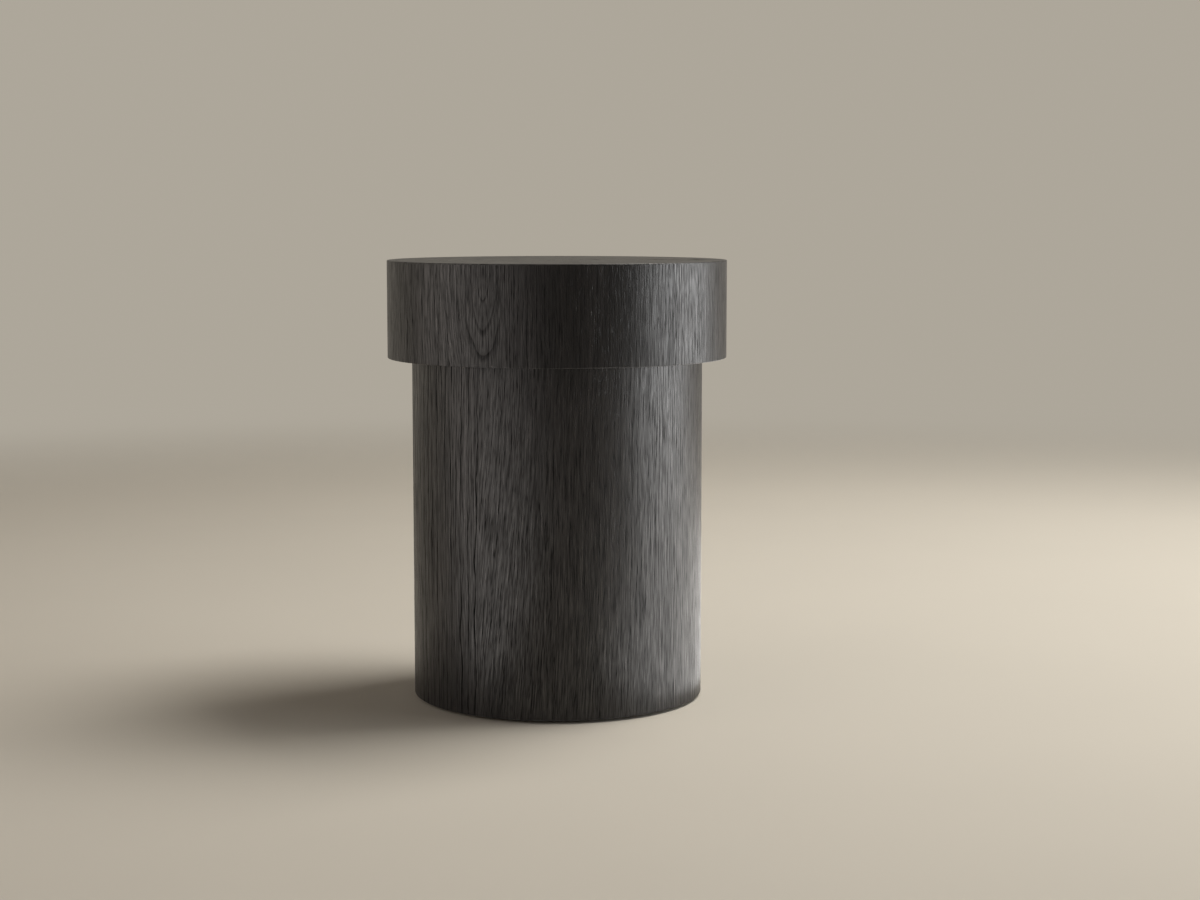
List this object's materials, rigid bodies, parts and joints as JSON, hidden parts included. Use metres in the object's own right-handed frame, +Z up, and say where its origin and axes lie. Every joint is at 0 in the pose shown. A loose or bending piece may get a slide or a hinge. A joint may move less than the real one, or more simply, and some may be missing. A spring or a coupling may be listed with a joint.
{
  "type": "drum side table",
  "caption": "Round side table with a wide drum-shaped head on a narrower cylindrical base, dark oak veneer over a hollow core, on hidden screw levellers.",
  "frame": {"origin": "on the floor, at the drum's axis", "axes": "+Z up along the drum's axis, -Y towards the picture's viewer, +X to the viewer's right"},
  "size_m": [0.35, 0.35, 0.453],
  "materials": {
    "oak_veneer": "brushed oak veneer, stained charcoal black, matt lacquer",
    "mdf": "raw medium-density fibreboard, sanded",
    "bent_plywood": "raw bending plywood, foot edge stained dark",
    "pine": "planed softwood",
    "beech": "fluted dowel, raw",
    "zinc_steel": "bright zinc plate",
    "brass": "turned",
    "black_nylon": "moulded, fine texture",
    "grey_felt": "pressed wool felt"
  },
  "bodies": {
    "table": {"top_veneer": "oak_veneer", "rim_veneer": "oak_veneer", "underside_veneer": "oak_veneer", "base_veneer": "oak_veneer", "top_panel": "mdf", "underside_panel": "mdf", "lower_cross_rib": "mdf", "upper_cross_rib": "mdf", "upper_former": "mdf", "middle_former": "mdf", "bottom_ring": "mdf", "rim_shell": "bent_plywood", "base_shell": "bent_plywood", "batten_1": "pine", "batten_2": "pine", "batten_3": "pine", "batten_4": "pine", "locating_dowels": "beech", "connector_bolts": "zinc_steel", "bolt_washers": "zinc_steel", "upper_batten_screws": "zinc_steel", "lower_batten_screws": "zinc_steel", "leveller_nuts": "zinc_steel", "threaded_inserts": "brass"},
    "leveller_1_pad": {"leveller_pad_1": "black_nylon", "leveller_felt_1": "grey_felt"},
    "leveller_2_pad": {"leveller_pad_2": "black_nylon", "leveller_felt_2": "grey_felt"},
    "leveller_3_pad": {"leveller_pad_3": "black_nylon", "leveller_felt_3": "grey_felt"},
    "leveller_4_pad": {"leveller_pad_4": "black_nylon", "leveller_felt_4": "grey_felt"},
    "leveller_1_stem": {"leveller_stem_1": "zinc_steel"},
    "leveller_2_stem": {"leveller_stem_2": "zinc_steel"},
    "leveller_3_stem": {"leveller_stem_3": "zinc_steel"},
    "leveller_4_stem": {"leveller_stem_4": "zinc_steel"}
  },
  "joints": [
    {"name": "leveller_1_rise", "type": "slide", "parent": "table", "child": "leveller_1_pad", "axis": [0, 0, -1], "range_m": [0, 0.01]},
    {"name": "leveller_1_turn", "type": "hinge", "parent": "leveller_1_pad", "child": "leveller_1_stem", "pos_m": [0.07906, 0.07906, 0.015], "axis": [0, 0, -1], "range_deg": [0, 2880]},
    {"name": "leveller_2_rise", "type": "slide", "parent": "table", "child": "leveller_2_pad", "axis": [0, 0, -1], "range_m": [0, 0.01]},
    {"name": "leveller_2_turn", "type": "hinge", "parent": "leveller_2_pad", "child": "leveller_2_stem", "pos_m": [-0.07906, 0.07906, 0.015], "axis": [0, 0, -1], "range_deg": [0, 2880]},
    {"name": "leveller_3_rise", "type": "slide", "parent": "table", "child": "leveller_3_pad", "axis": [0, 0, -1], "range_m": [0, 0.01]},
    {"name": "leveller_3_turn", "type": "hinge", "parent": "leveller_3_pad", "child": "leveller_3_stem", "pos_m": [-0.07906, -0.07906, 0.015], "axis": [0, 0, -1], "range_deg": [0, 2880]},
    {"name": "leveller_4_rise", "type": "slide", "parent": "table", "child": "leveller_4_pad", "axis": [0, 0, -1], "range_m": [0, 0.01]},
    {"name": "leveller_4_turn", "type": "hinge", "parent": "leveller_4_pad", "child": "leveller_4_stem", "pos_m": [0.07906, -0.07906, 0.015], "axis": [0, 0, -1], "range_deg": [0, 2880]}
  ],
  "couplings": [
    {"joint": "leveller_1_turn", "follows": "leveller_1_rise", "rad_per_m": 5026.5},
    {"joint": "leveller_2_turn", "follows": "leveller_2_rise", "rad_per_m": 5026.5},
    {"joint": "leveller_3_turn", "follows": "leveller_3_rise", "rad_per_m": 5026.5},
    {"joint": "leveller_4_turn", "follows": "leveller_4_rise", "rad_per_m": 5026.5}
  ]
}
